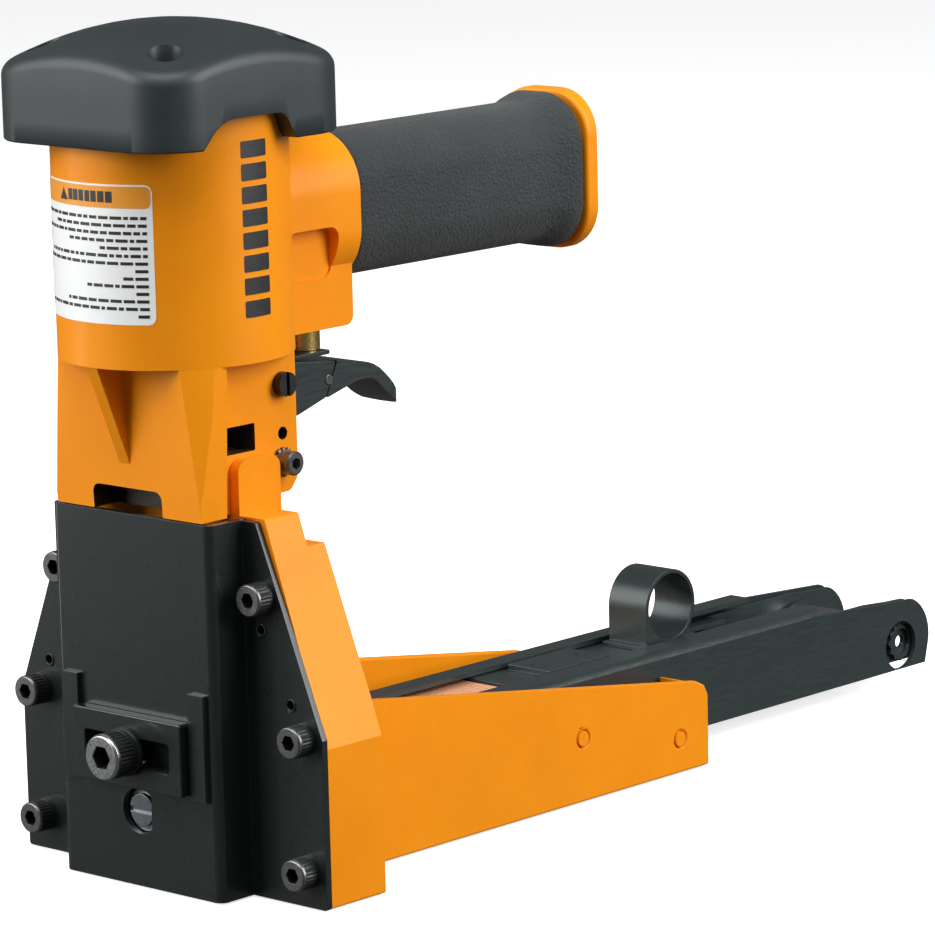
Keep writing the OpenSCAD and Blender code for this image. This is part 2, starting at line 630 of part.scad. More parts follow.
module trigger_lever() color(black) difference() {
    union() {
        intersection() {
            along_x(-8, 8) polygon([[61.5, 138.1], [65.8, 137.6], [70.1, 136.9], [74, 136], [76.4, 135.1], [78.6, 133.8],
                [80.6, 132.2], [82.5, 130.4], [85.4, 127.5], [88.2, 124.9], [90.2, 123.2], [90.5, 122.4], [90.1, 121.8],
                [89.2, 121.7], [86.4, 122.7], [83.4, 124.7], [80.6, 127], [78.4, 129.1], [76.8, 130.5], [75.2, 131.3],
                [73, 131.6], [70, 131.3], [67, 130.7], [57.4, 128.2], [56.9, 128.3]]);
            translate([0, 0, 110]) linear_extrude(40) polygon(concat([[8, 50], [8, 83]],
                [for (a = [15:15:165]) [8 * cos(a), 83 + 6.6 * sin(a)]], [[-8, 83], [-8, 50]]));
        }
        along_x(-6.3, 6.3) polygon([[55, 129.8], [58, 129], [62, 135.9], [56.4, 135.9]]);
    }
    peg_x(lever_pin_y, lever_pin_z, 1.52, -20, 20);
}

module lever_pin() color(steel) peg_x(lever_pin_y, lever_pin_z, 1.5, -8.1, 8.1);

module pivot_screw() color(black) difference() {
    union() {
        peg_x(trigger_y, trigger_z, 2.5, -cheek_half - 0.5, cheek_half + eps);
        both_sides() peg_x(trigger_y, trigger_z, 3.4, cheek_half, cheek_half + 2.8);
    }
    both_sides() translate([cheek_half + 1.5, trigger_y - 0.6, trigger_z - 5]) cube([2, 1.2, 10]);
}

module pivot_spacers() color(steel) both_sides() difference() {
    peg_x(trigger_y, trigger_z, 4, 8.15, 9.95);
    peg_x(trigger_y, trigger_z, 2.56, 5, 12);
}

module valve_body() color(brass) difference() {
    peg_z(0, valve_y, valve_r, boss_bot_z + 0.2, 171);
    peg_z(0, valve_y, plunger_r + 0.05, boss_bot_z - 1, 158);
    peg_z(0, valve_y, 2.55, 157, 175);
    peg_x(valve_y, 168.5, 1.5, -10, 10);
    translate([0, valve_y, 164]) rotate_extrude() translate([valve_r - 1.1, 0]) square([2, 2]);
}

module valve_stem() color(brass) {
    peg_z(0, valve_y, plunger_r, pad_top_z, 152);
    peg_z(0, valve_y, 2.5, 151.9, 167);
}

module valve_spring() color(steel) translate([0, valve_y, 152.05]) ring_spring(4, 0.5, 5.9, 4);

module valve_seal() color(rubber) translate([0, valve_y, 164.05]) difference() {
    cylinder(r = valve_r + 0.03, h = 1.9);
    translate([0, 0, -1]) cylinder(r = valve_r - 1.08, h = 4);
}

module stem_pad() color(black) translate([-7.6, 45, pad_top_z - 1.3]) cube([15.2, 14, 1.3]);

module side_screws() color(steel) both_sides() translate([cheek_half + 1.2, side_screw_y, side_screw_z])
    rotate([0, 90, 0]) socket_screw(3.4, 4.2, 1.85, 12, 3);

module star_washers() color("#8b8378") both_sides() translate([cheek_half, side_screw_y, side_screw_z])
    rotate([0, 90, 0]) difference() {
    union() {
        cylinder(r = 3.4, h = 1.2);
        for (a = [0:30:330]) rotate([0, 0, a]) translate([3.2, -0.5, 0.2]) cube([0.9, 1, 0.8]);
    }
    translate([0, 0, -1]) cylinder(r = 1.95, h = 4);
}

main_housing();
top_cap();
cap_screws();
cap_gasket();
cylinder_liner();
liner_seals();
head_valve();
head_valve_spring();
head_valve_seal();
bumper();
piston();
piston_seal();
driver_blade();
driver_pin();
clinch_yoke();
yoke_rollers();
nose_frame();
front_cover();
cover_screws();
cover_dowels();
clincher_block();
driver_guide();
left_clincher();
right_clincher();
clincher_pins();
adjuster_plate();
adjuster_screw();
adjuster_collar();
adjuster_nut();
clinch_dial();
magazine_guard();
guard_dowels();
magazine_channel();
staple_track();
staple_strip();
pusher();
pusher_rivets();
finger_ring();
spring_drum();
drum_axle();
spring_band();
grip_sleeve();
handle_end_cap();
end_cap_gasket();
end_cap_screws();
inlet_bush();
trigger_arm();
trigger_lever();
lever_pin();
pivot_screw();
pivot_spacers();
valve_body();
valve_stem();
valve_spring();
valve_seal();
stem_pad();
side_screws();
star_washers();
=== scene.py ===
# %% [markdown]
# # A pneumatic carton stapler
#
# This tool closes the top of a filled carton. Air drives a piston, the piston drives one wide staple, and
# two curved clinchers turn its legs over from above. The exact machined model is loaded first, and this
# lesson gives it its looks: softened castings, foam, sheet steel, screws, staples, a label and the light.

import json
import random
from math import cos, pi, radians, sin, sqrt

import bmesh
import bpy
from mathutils import Matrix, Vector


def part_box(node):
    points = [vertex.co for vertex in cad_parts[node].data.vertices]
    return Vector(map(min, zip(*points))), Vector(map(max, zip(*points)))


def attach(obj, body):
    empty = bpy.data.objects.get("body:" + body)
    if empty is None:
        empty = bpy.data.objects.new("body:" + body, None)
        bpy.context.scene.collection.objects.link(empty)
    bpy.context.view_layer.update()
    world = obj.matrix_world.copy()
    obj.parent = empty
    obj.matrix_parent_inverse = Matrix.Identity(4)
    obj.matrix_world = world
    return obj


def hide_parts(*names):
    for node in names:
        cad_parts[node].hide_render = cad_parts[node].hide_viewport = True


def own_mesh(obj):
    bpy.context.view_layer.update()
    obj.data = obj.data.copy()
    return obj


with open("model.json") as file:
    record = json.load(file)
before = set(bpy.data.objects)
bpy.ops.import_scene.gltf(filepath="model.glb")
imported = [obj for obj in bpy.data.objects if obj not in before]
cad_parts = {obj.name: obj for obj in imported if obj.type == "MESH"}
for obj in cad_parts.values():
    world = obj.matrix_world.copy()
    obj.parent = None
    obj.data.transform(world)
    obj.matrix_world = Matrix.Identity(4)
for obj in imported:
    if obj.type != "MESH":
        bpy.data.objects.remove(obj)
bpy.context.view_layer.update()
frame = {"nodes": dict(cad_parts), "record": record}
nodes = frame["nodes"]
scene = bpy.context.scene
MM = 0.001
body_of_node = {n: body for body, ns in frame["record"]["behaviour"]["bodies"].items() for n in ns}

# %% [markdown]
# ## Camera
#
# The camera is placed first, because every choice of detail depends on what it sees. It stands in front
# of the tool, to its right and a little above, with a long lens, so that the upright edges stay parallel.

# %% Camera
azimuth, elevation, roll = radians(42.78), radians(10.60), radians(-1.45)
side_on = Vector((cos(azimuth), sin(azimuth), 0))
towards = Vector((sin(azimuth) * cos(elevation), -cos(azimuth) * cos(elevation), sin(elevation)))
up_on = towards.cross(side_on)
cam_right = cos(roll) * side_on + sin(roll) * up_on
cam_up = -sin(roll) * side_on + cos(roll) * up_on
camera = bpy.data.objects.new("camera", bpy.data.cameras.new("camera"))
scene.collection.objects.link(camera)
camera.matrix_world = Matrix.Translation(Vector((1005.6, -963.7, 374.1)) * MM) @ Matrix(
    (cam_right, cam_up, towards)).transposed().to_4x4()
camera.data.sensor_width = 36
camera.data.lens = 197.8
camera.data.clip_end = 20
scene.camera = camera
print("camera at", tuple(round(v, 3) for v in camera.location))

# %% [markdown]
# ## Finishes
#
# Every finish is a small node tree on the Principled shader. The patterns read Object coordinates in
# metres, so a grain of half a millimetre is a noise scale of about two thousand. One helper makes the
# tree: a base colour with slow drift and fine mottling, a roughness that varies, and one or two bumps.


# %% One helper for all finishes
SLOW_SCALE = 28           # noise scale of the slow drift in colour, about 35 mm across
FINE_SHARE = 0.35         # how much of the colour's variation is the fine grain
DRIFT_ENDS = 0.32, 0.68   # where the first colour ends and the second begins
GRAIN_ENDS = 0.3, 0.7     # the part of the grain's noise that the roughness follows
PEEL_STRENGTH = 0.25


def finish(name, colour, drift=None, rough=(0.35, 0.5), metallic=0.0, grain=900, bump=0.1, height=0.05,
           orange_peel=None, stretch=(1, 1, 1), **sockets):
    """A procedural finish. rough is a range, grain a noise scale, height in millimetres.

    orange_peel is a second, coarser bump, as (noise scale, height). Other sockets go by their names.
    """
    mat = bpy.data.materials.new(name)
    mat.use_nodes = True
    tree = mat.node_tree
    add, link = tree.nodes.new, tree.links.new
    shader = tree.nodes["Principled BSDF"]
    place = add("ShaderNodeTexCoord")
    mapping = add("ShaderNodeMapping")
    mapping.inputs["Scale"].default_value = stretch
    link(place.outputs["Object"], mapping.inputs["Vector"])

    def noise(scale, detail=4.0, roughness=0.55):
        node = add("ShaderNodeTexNoise")
        node.inputs["Scale"].default_value = scale
        node.inputs["Detail"].default_value = detail
        node.inputs["Roughness"].default_value = roughness
        link(mapping.outputs["Vector"], node.inputs["Vector"])
        return node.outputs["Fac"]

    slow, fine = noise(SLOW_SCALE, 3), noise(grain)
    ramp = add("ShaderNodeValToRGB")
    first, second = ramp.color_ramp.elements
    first.position, second.position = DRIFT_ENDS
    first.color = (*colour, 1)
    second.color = (*(drift or tuple(c * 0.88 for c in colour)), 1)
    mix = add("ShaderNodeMath")
    mix.operation = "MULTIPLY_ADD"
    mix.inputs[1].default_value = FINE_SHARE
    link(fine, mix.inputs[0])
    drifting = add("ShaderNodeMath")
    drifting.operation = "MULTIPLY"
    drifting.inputs[1].default_value = 1 - FINE_SHARE
    link(slow, drifting.inputs[0])
    link(drifting.outputs[0], mix.inputs[2])
    link(mix.outputs[0], ramp.inputs["Fac"])
    link(ramp.outputs["Color"], shader.inputs["Base Color"])
    spread = add("ShaderNodeMapRange")
    spread.inputs["From Min"].default_value, spread.inputs["From Max"].default_value = GRAIN_ENDS
    spread.inputs["To Min"].default_value, spread.inputs["To Max"].default_value = rough
    link(fine, spread.inputs["Value"])
    link(spread.outputs["Result"], shader.inputs["Roughness"])
    dent = add("ShaderNodeBump")
    dent.inputs["Strength"].default_value = bump
    dent.inputs["Distance"].default_value = height * MM
    link(fine, dent.inputs["Height"])
    last = dent
    if orange_peel:
        peel = add("ShaderNodeBump")
        peel.inputs["Strength"].default_value = PEEL_STRENGTH
        peel.inputs["Distance"].default_value = orange_peel[1] * MM
        link(noise(orange_peel[0], 2), peel.inputs["Height"])
        link(dent.outputs["Normal"], peel.inputs["Normal"])
        last = peel
    link(last.outputs["Normal"], shader.inputs["Normal"])
    shader.inputs["Metallic"].default_value = metallic
    for socket, value in sockets.items():
        shader.inputs[socket.replace("_", " ")].default_value = value
    return mat


# %% Paint, rubber and foam
enamel = finish("orange_enamel", (0.95, 0.315, 0.006), (0.86, 0.265, 0.004), rough=(0.30, 0.42),
                grain=1500, bump=0.10, height=0.03, orange_peel=(260, 0.10), Specular_IOR_Level=0.22)
cap_rubber = finish("cap_moulding", (0.016, 0.023, 0.024), (0.026, 0.034, 0.035), rough=(0.40, 0.54),
                    grain=2600, bump=0.35, height=0.05)
black_lacquer = finish("black_lacquer", (0.007, 0.011, 0.010), (0.010, 0.014, 0.013), rough=(0.27, 0.32),
                       grain=900, bump=0.02, height=0.02, orange_peel=(120, 0.05), Coat_Weight=0.5,
                       Coat_Roughness=0.12)
foam = finish("grip_foam", (0.008, 0.013, 0.014), (0.024, 0.034, 0.035), rough=(0.6, 0.8), grain=1100,
              bump=1.0, height=0.9, orange_peel=(520, 0.9), Sheen_Weight=0.15, Sheen_Roughness=0.5)
seal_rubber = finish("seal_rubber", (0.012, 0.012, 0.013), rough=(0.5, 0.65), grain=1500, bump=0.2)
print("painted and soft finishes", len(bpy.data.materials))

# %% Metals
# Rolled and ground steel is stretched along one axis, so its grain runs the way the sheet was made.
blued_steel = finish("blued_steel", (0.034, 0.046, 0.046), (0.044, 0.058, 0.058), rough=(0.26, 0.40),
                     metallic=0.35, grain=1200, bump=0.06, height=0.02, stretch=(1, 0.12, 1))
bright_steel = finish("bright_steel", (0.50, 0.51, 0.49), (0.40, 0.41, 0.40), rough=(0.22, 0.34),
                      metallic=1.0, grain=900, bump=0.05, height=0.02)
screw_steel = finish("screw_steel", (0.15, 0.155, 0.15), (0.21, 0.21, 0.20), rough=(0.28, 0.38),
                     metallic=0.9, grain=1100, bump=0.06, height=0.02)
screw_black = finish("screw_black", (0.022, 0.024, 0.025), (0.040, 0.042, 0.042), rough=(0.30, 0.45),
                     metallic=0.6, grain=1800, bump=0.1, height=0.02)
tool_steel = finish("tool_steel", (0.30, 0.32, 0.33), (0.22, 0.235, 0.25), rough=(0.25, 0.4), metallic=1.0,
                    grain=900, bump=0.08, height=0.02, stretch=(1, 1, 0.1))
brass = finish("brass", (0.78, 0.56, 0.20), (0.62, 0.43, 0.14), rough=(0.22, 0.4), metallic=1.0,
               grain=1500, bump=0.1, height=0.02)
copper_wire = finish("copper_wire", (0.95, 0.52, 0.32), (0.90, 0.44, 0.25), rough=(0.34, 0.5),
                     metallic=0.45, grain=900, bump=0.1, height=0.02)
spring_steel = finish("spring_steel", (0.42, 0.44, 0.46), (0.34, 0.36, 0.38), rough=(0.2, 0.34),
                      metallic=1.0, grain=1200)
print("all finishes", len(bpy.data.materials))

# %% [markdown]
# ## Softened copies of the castings and pressings
#
# The exact model has knife-sharp edges. A real casting has radii and a pressed sheet has small bends, and
# it is these that catch the light. Each visible node is copied, its triangles are merged into flat
# faces, and a Bevel modifier rounds every edge sharper than a set angle. The copy then stands for the node.


# %% Small helpers for finished pieces
def plain(obj):
    """Turns an object with modifiers into a plain mesh."""
    bpy.context.view_layer.update()
    done = bpy.data.meshes.new_from_object(obj.evaluated_get(bpy.context.evaluated_depsgraph_get()))
    obj.modifiers.clear()
    obj.data = done
    return obj


def placed(name, mesh, body, mats, stands_for=()):
    """Links a finished mesh as a piece that rides on a body."""
    obj = bpy.data.objects.new(name, mesh)
    scene.collection.objects.link(obj)
    for mat in mats:
        mesh.materials.append(mat)
    obj["rides"] = body
    if stands_for:
        obj["stands_for"] = list(stands_for)
    return obj


def join_the_tool(obj):
    """Makes a placed piece ride on its body, and hides the nodes that it stands for."""
    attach(obj, obj["rides"])
    if "stands_for" in obj:
        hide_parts(*obj["stands_for"])
    return obj


# %% A softened copy of one node
WELD = 2e-6               # corners closer than this are one corner
FLAT_WITHIN = 0.6         # degrees: neighbouring triangles flatter than this become one face
BEVEL_FROM = 32           # degrees: edges sharper than this are rounded
SHARP_FROM = 38           # degrees: edges sharper than this stay sharp in the shading
AREA_WEIGHT = 90          # how strongly large flat faces rule the shading at their edges


def softened(node, radius, mats, clamped=False):
    """A copy of a node with its edges rounded to radius, in millimetres."""
    mesh = bpy.data.meshes.new("soft_" + node)
    bm = bmesh.new()
    bm.from_mesh(nodes[node].data)
    bmesh.ops.remove_doubles(bm, verts=bm.verts, dist=WELD)
    bmesh.ops.dissolve_limit(bm, angle_limit=radians(FLAT_WITHIN), verts=bm.verts, edges=bm.edges)
    for face in bm.faces:
        face.smooth = True
        face.material_index = 0
    bm.to_mesh(mesh)
    bm.free()
    for name in [a.name for a in mesh.attributes if a.name.startswith("custom_normal")]:
        mesh.attributes.remove(mesh.attributes[name])
    obj = placed("soft_" + node, mesh, body_of_node[node], mats, [node])
    if radius:
        bevel = obj.modifiers.new("edges", "BEVEL")
        bevel.width = radius * MM
        bevel.segments = 3
        bevel.limit_method = "ANGLE"
        bevel.angle_limit = radians(BEVEL_FROM)
        bevel.use_clamp_overlap = clamped
        bevel.miter_outer = "MITER_ARC"
        plain(obj)
    obj.data.set_sharp_from_angle(angle=radians(SHARP_FROM))
    flat = obj.modifiers.new("flat", "WEIGHTED_NORMAL")
    flat.mode, flat.weight, flat.keep_sharp = "FACE_AREA", AREA_WEIGHT, True
    plain(obj)
    join_the_tool(obj)
    return obj


# %% Soften what shows
# Each node's edge radius in millimetres, and its finish
soft_nodes = {
    "main_housing": (0.35, [enamel]), "nose_frame": (0.7, [enamel]), "magazine_guard": (0.8, [enamel]),
    "handle_end_cap": (1.2, [enamel]), "guard_dowels": (0.15, [enamel]),
    "front_cover": (0.5, [black_lacquer]), "adjuster_plate": (0.4, [black_lacquer]),
    "magazine_channel": (0.25, [blued_steel]), "staple_track": (0.2, [blued_steel]),
    "pusher": (0.3, [blued_steel]), "pusher_rivets": (0.15, [blued_steel]),
    "finger_ring": (0.35, [blued_steel]), "trigger_arm": (0.4, [blued_steel]),
    "trigger_lever": (0.12, [blued_steel]), "lever_pin": (0.2, [screw_steel]),
    "pivot_screw": (0.3, [screw_black]), "stem_pad": (0.25, [blued_steel]),
    "clinch_dial": (0.15, [tool_steel]), "cover_dowels": (0.3, [screw_black]),
    "star_washers": (0.08, [screw_steel]), "valve_stem": (0.3, [brass]),
    "adjuster_collar": (0.3, [screw_black]),
}
# These have edges closer together than twice the radius, so their bevels shrink to fit
finely_made = {"main_housing", "nose_frame", "front_cover", "magazine_channel", "staple_track",
               "trigger_lever", "star_washers", "pivot_screw", "finger_ring"}
for node, (radius, mats) in soft_nodes.items():
    piece = softened(node, radius, mats, clamped=node in finely_made)
    print(node, len(piece.data.polygons), "faces")

# %% [markdown]
# ## Painted shade inside the windows
#
# The faces whose middle lies inside each opening take a second, dark finish, which is painted shade.

# %% Painted shade on the walls of the openings
# Painted shade: a dark brown-black colour for the walls inside the openings, standing in for their shade
opening_shade_paint = finish("bare_oily_iron", (0.020, 0.014, 0.010), (0.045, 0.028, 0.015), rough=(0.35, 0.55),
                   grain=700, bump=0.2, height=0.05)
shell = bpy.data.objects["soft_main_housing"].data
shell.materials.append(opening_shade_paint)
openings = [((-13.7, -13.6, 105.5), (13.7, -3, 112.9)),      # the notch above the front cover
            ((-27.9, -1.2, 121.8), (27.9, 10.8, 129.8)),     # the window through the cheeks
            ((-24.9, 19.4, 123.1), (24.9, 23.4, 127.1))]     # the pin hole behind it
dark = 0
# Each face inside an opening takes the painted shade
for face in shell.polygons:
    if any(all(low[i] < face.center[i] / MM < high[i] for i in range(3)) for low, high in openings):
        face.material_index = 1
        dark += 1
print("painted shade faces", dark)

# %% [markdown]
# ## What stays as machined
#
# The inner pieces and plain turned parts are already the right shape. They keep their exact meshes and
# take a finish.

# %% Finishes on the exact nodes
machined = {
    "cap_screws": screw_steel, "side_screws": screw_steel, "end_cap_screws": screw_steel,
    "inlet_bush": brass, "cylinder_liner": bright_steel, "piston": bright_steel, "driver_blade": tool_steel,
    "driver_pin": bright_steel, "clinch_yoke": tool_steel, "yoke_rollers": bright_steel,
    "clincher_block": tool_steel, "driver_guide": tool_steel, "left_clincher": tool_steel,
    "right_clincher": tool_steel, "clincher_pins": bright_steel, "adjuster_nut": tool_steel,
    "spring_drum": spring_steel, "drum_axle": bright_steel, "spring_band": spring_steel, "valve_body": brass,
    "pivot_spacers": bright_steel, "cap_gasket": seal_rubber, "liner_seals": seal_rubber,
    "head_valve_seal": seal_rubber, "bumper": seal_rubber, "piston_seal": seal_rubber,
    "end_cap_gasket": seal_rubber, "valve_seal": seal_rubber, "head_valve": cap_rubber,
}
for node, mat in machined.items():
    nodes[node].data.materials.clear()
    nodes[node].data.materials.append(mat)
print("machined", len(machined))

# %% [markdown]
# ## The cap
#
# The cap is a moulded dome on a square with round corners. Its wall turns into the dome through one
# generous radius, so it is built as rings: up the wall, round the radius, and in to the middle. Boolean
# cuts then open the sides, the inside and the four screw recesses.

# %% The cap's sizes and outline
cap_low, cap_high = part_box("top_cap")
cap_centre = Vector(((cap_low.x + cap_high.x) / 2, (cap_low.y + cap_high.y) / 2, 0))
cap_half = (cap_high.x - cap_low.x) / 2
dome_radius, corner_radius, edge_radius = 94 * MM, 15 * MM, 5 * MM
foot_inset = 0.4 * MM
round_turn = pi / 2 * 0.82     # the edge's radius meets the dome before a full quarter turn
AROUND = 128                   # points round the cap


def rounded_square(half, corner, turn):
    """The point of a rounded square's outline in one direction."""
    flat = half - corner
    quarter, within = divmod(turn % (2 * pi), pi / 2)
    t = within / (pi / 2)
    arc = pi / 2 * corner
    length = 2 * flat + arc
    d = t * length
    if d < flat:
        p = Vector((half, d))
    elif d < flat + arc:
        a = (d - flat) / corner
        p = Vector((flat + corner * cos(a), flat + corner * sin(a)))
    else:
        p = Vector((flat - (d - flat - arc), half))
    a = quarter * pi / 2
    return Vector((p.x * cos(a) - p.y * sin(a), p.x * sin(a) + p.y * cos(a)))


def dome_height(p):
    """The dome's height above one place, measured from the cap's middle."""
    return cap_high.z - dome_radius + sqrt(dome_radius ** 2 - p.length_squared)


def mesh_from(bm, name):
    """Turns the faces outwards and writes the mesh."""
    bmesh.ops.recalc_face_normals(bm, faces=bm.faces)
    mesh = bpy.data.meshes.new(name)
    bm.to_mesh(mesh)
    bm.free()
    return mesh


def bridge(bm, rings, flip=False):
    """Joins each closed ring to the next with four-sided faces, and gives the faces of each band."""
    bands = []
    for low, high in zip(rings, rings[1:]):
        bands.append([])
        for i in range(len(low)):
            j = (i + 1) % len(low)
            corners = (low[i], high[i], high[j], low[j]) if flip else (low[i], low[j], high[j], high[i])
            bands[-1].append(bm.faces.new(corners))
    return bands


print("cap", [round(v / MM, 1) for v in cap_high - cap_low], "mm")

# %% The cap's rings
bm = bmesh.new()
turns = [2 * pi * i / AROUND for i in range(AROUND)]
rings = []


def outline_point(inset, corner, turn):
    return rounded_square(cap_half - inset, corner, turn)


for z in (cap_low.z, cap_low.z + 0.5 * MM, cap_low.z + 6 * MM, cap_low.z + 12 * MM):
    inset = foot_inset if z == cap_low.z else 0
    outline = [cap_centre.xy + outline_point(inset, corner_radius, a) for a in turns]
    rings.append([bm.verts.new((*p, z)) for p in outline])
for step in range(9):
    b = step / 8 * round_turn
    inset = edge_radius * (1 - cos(b))
    ring = []
    for a in turns:
        foot = outline_point(edge_radius, corner_radius - edge_radius, a)
        wall = outline_point(0, corner_radius, a)
        p = wall + (foot - wall) * (inset / edge_radius)
        inner = outline_point(edge_radius * (1 - cos(round_turn)), corner_radius - 3 * MM, a)
        drop = edge_radius * (sin(round_turn) - sin(b))
        ring.append(bm.verts.new((*(cap_centre.xy + p), dome_height(inner) - drop)))
    rings.append(ring)
last = [v.co.copy() for v in rings[-1]]
for share in (0.94, 0.86, 0.76, 0.64, 0.5, 0.36, 0.22, 0.1):
    ring = []
    for co in last:
        p = (co.xy - cap_centre.xy) * share
        rim = dome_height(co.xy - cap_centre.xy) - co.z
        ring.append(bm.verts.new((*(cap_centre.xy + p), dome_height(p) - rim * share ** 6)))
    rings.append(ring)
bridge(bm, rings)
bm.faces.new(rings[-1])
bm.faces.new(reversed(rings[0]))
cap = placed("cap", mesh_from(bm, "cap"), body_of_node["top_cap"], [cap_rubber], ["top_cap"])
print("cap rings", len(rings))


# %% Cutters for the cap
def solid(name, outline, depth, turn=None, place=(0, 0, 0)):
    """A prism: outline in XY, from z = 0 to depth, then turned and placed. Only used as a cutter."""
    bm = bmesh.new()
    low = [bm.verts.new((x, y, 0)) for x, y in outline]
    high = [bm.verts.new((x, y, depth)) for x, y in outline]
    n = len(outline)
    for i in range(n):
        bm.faces.new((low[i], low[(i + 1) % n], high[(i + 1) % n], high[i]))
    bm.faces.new(high)
    bm.faces.new(reversed(low))
    mesh = mesh_from(bm, name)
    if turn:
        mesh.transform(turn)
    mesh.transform(Matrix.Translation(place))
    obj = bpy.data.objects.new(name, mesh)
    scene.collection.objects.link(obj)
    return obj


def ring_outline(radius, count=48):
    return [(radius * cos(2 * pi * i / count), radius * sin(2 * pi * i / count)) for i in range(count)]


def smoothed(points, radius, steps=5):
    """Rounds the corners of an outline."""
    out, n = [], len(points)
    for i in range(n):
        a, b, c = Vector(points[i - 1]), Vector(points[i]), Vector(points[(i + 1) % n])
        r = min(radius, (a - b).length * 0.45, (c - b).length * 0.45)
        p, q = b + (a - b).normalized() * r, b + (c - b).normalized() * r
        for t in [k / steps for k in range(steps + 1)]:
            out.append(tuple((1 - t) ** 2 * p + 2 * t * (1 - t) * b + t * t * q))
    return out


# %% Where the cap is cut
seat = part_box("cap_gasket")[1].z
liner_low, liner_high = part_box("cylinder_liner")
seat_y = (liner_low.y + liner_high.y) / 2
valve_top = 226 * MM
cutters = [
    solid("cut_seat", ring_outline(33.05 * MM, 96), seat - cap_low.z + 1 * MM, None,
          (0, seat_y, cap_low.z - 1 * MM)),
    solid("cut_valve", ring_outline(25.6 * MM, 96), valve_top - seat + 1 * MM, None,
          (0, seat_y, seat - 1 * MM)),
]
arch = smoothed([(-16, 206), (-16, 207.6), (-11, 213), (-6, 215.2), (15, 215.2), (18, 209.5), (20, 207.6),
                 (20, 206)], 3.5)
neck = smoothed([(-19, 206), (-19, 213), (19, 213), (19, 206)], 3)
outline_to_side = Matrix(((0, 0, 1, 0), (1, 0, 0, 0), (0, 1, 0, 0), (0, 0, 0, 1)))
outline_to_rear = Matrix(((1, 0, 0, 0), (0, 0, 1, 0), (0, 1, 0, 0), (0, 0, 0, 1)))
for start in (20, -40):
    cutters.append(solid("cut_arch", [(y * MM, z * MM) for y, z in arch], 20 * MM, outline_to_side,
                         (start * MM, 0, 0)))
cutters.append(solid("cut_neck", [(x * MM, z * MM) for x, z in neck], 30 * MM, outline_to_rear,
                     (0, 22 * MM, 0)))
screw_at, recess_floor = 23.5 * MM, 224.5 * MM
for sx in (-1, 1):
    for sy in (-1, 1):
        x, y = sx * screw_at, cap_centre.y + sy * screw_at
        cutters.append(solid("cut_recess", ring_outline(4.8 * MM), 20 * MM, None, (x, y, recess_floor)))
        cutters.append(solid("cut_bore", ring_outline(2.8 * MM, 32), 30 * MM, None, (x, y, 200 * MM)))
print("cutters", len(cutters))

# %% Cut the cap and round its lips
for cutter in cutters:
    cut = cap.modifiers.new("cut", "BOOLEAN")
    cut.operation, cut.object, cut.solver = "DIFFERENCE", cutter, "EXACT"
lip = cap.modifiers.new("lip", "BEVEL")
lip.width, lip.segments, lip.limit_method, lip.angle_limit = 0.7 * MM, 3, "ANGLE", radians(40)
plain(cap)
for cutter in cutters:
    bpy.data.objects.remove(cutter)
for face in cap.data.polygons:
    face.use_smooth = True
cap.data.set_sharp_from_angle(angle=radians(45))
join_the_tool(cap)
print("cap", len(cap.data.polygons), "faces")

# %% [markdown]
# ## The foam grip
#
# The grip is a foam tube pulled over the handle. It flares at its rear, where it meets the flange, and
# both ends are softly rounded. It is swept as rings along the handle, outside and inside.

# %% The grip's section
grip_low, grip_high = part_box("grip_sleeve")
grip_z = (grip_low.z + grip_high.z) / 2
grip_front, grip_rear = grip_low.y, grip_high.y


def grip_section(half_w, half_h, corner, count=96):
    """A rounded rectangle across the handle, as points in millimetres."""
    points = []
    flat_w, flat_h = half_w - corner, half_h - corner
    for i in range(count):
        a = 2 * pi * i / count
        cx = flat_w if cos(a) > 1e-9 else (-flat_w if cos(a) < -1e-9 else 0)
        cz = flat_h if sin(a) > 1e-9 else (-flat_h if sin(a) < -1e-9 else 0)
        points.append((cx + corner * cos(a), cz + corner * sin(a)))
    return points


length = grip_rear - grip_front
print("grip length", round(length / MM, 1), "mm")

# %% The grip's rings
front_round, rear_round = 2.0, 2.5             # millimetres, the soft ends
flare_from, flare_over = 11 * MM, 8 * MM       # how far from the rear the flare starts, and its length
stations = []
for k in range(7):
    b = k / 6 * pi / 2
    stations.append((grip_front + front_round * MM * (1 - cos(b)), -front_round * (1 - sin(b))))
for k in range(1, 24):
    stations.append((grip_front + front_round * MM + (length - (front_round + rear_round) * MM) * k / 24, 0))
for k in range(7):
    b = k / 6 * pi / 2
    stations.append((grip_rear - rear_round * MM * (1 - sin(b)), -rear_round * (1 - cos(b))))
bm = bmesh.new()
rings = []
for y, shrink in stations:
    reach = min(1, max(0.0, (y - (grip_rear - flare_from)) / flare_over))
    flare = 3 * reach ** 2 - 2 * reach ** 3
    half_w, half_h = 16.5 + 1.45 * flare + shrink, 20.6 + 2.35 * flare + shrink
    outline = grip_section(half_w, half_h, min(14.5, half_w - 0.5))
    rings.append([bm.verts.new((x * MM, y, grip_z + z * MM)) for x, z in outline])
for y in (grip_rear, grip_front):
    bore = grip_section(13.7, 17.8, 12.4)
    rings.append([bm.verts.new((x * MM, y, grip_z + z * MM)) for x, z in bore])
rings.append(rings[0])
bridge(bm, rings, flip=True)
grip_mesh = mesh_from(bm, "foam_grip")
for face in grip_mesh.polygons:
    face.use_smooth = True
grip = placed("foam_grip", grip_mesh, body_of_node["grip_sleeve"], [foam], ["grip_sleeve"])
grip_mesh.set_sharp_from_angle(angle=radians(50))
join_the_tool(grip)
print("grip", len(grip.data.polygons), "faces")

# %% [markdown]
# ## The staples
#
# The magazine holds one glued stick of wide staples. They repeat at an even pitch, so Geometry Nodes make
# them: one staple is a bent line given the wire's flat section, and it is set on a line of points.


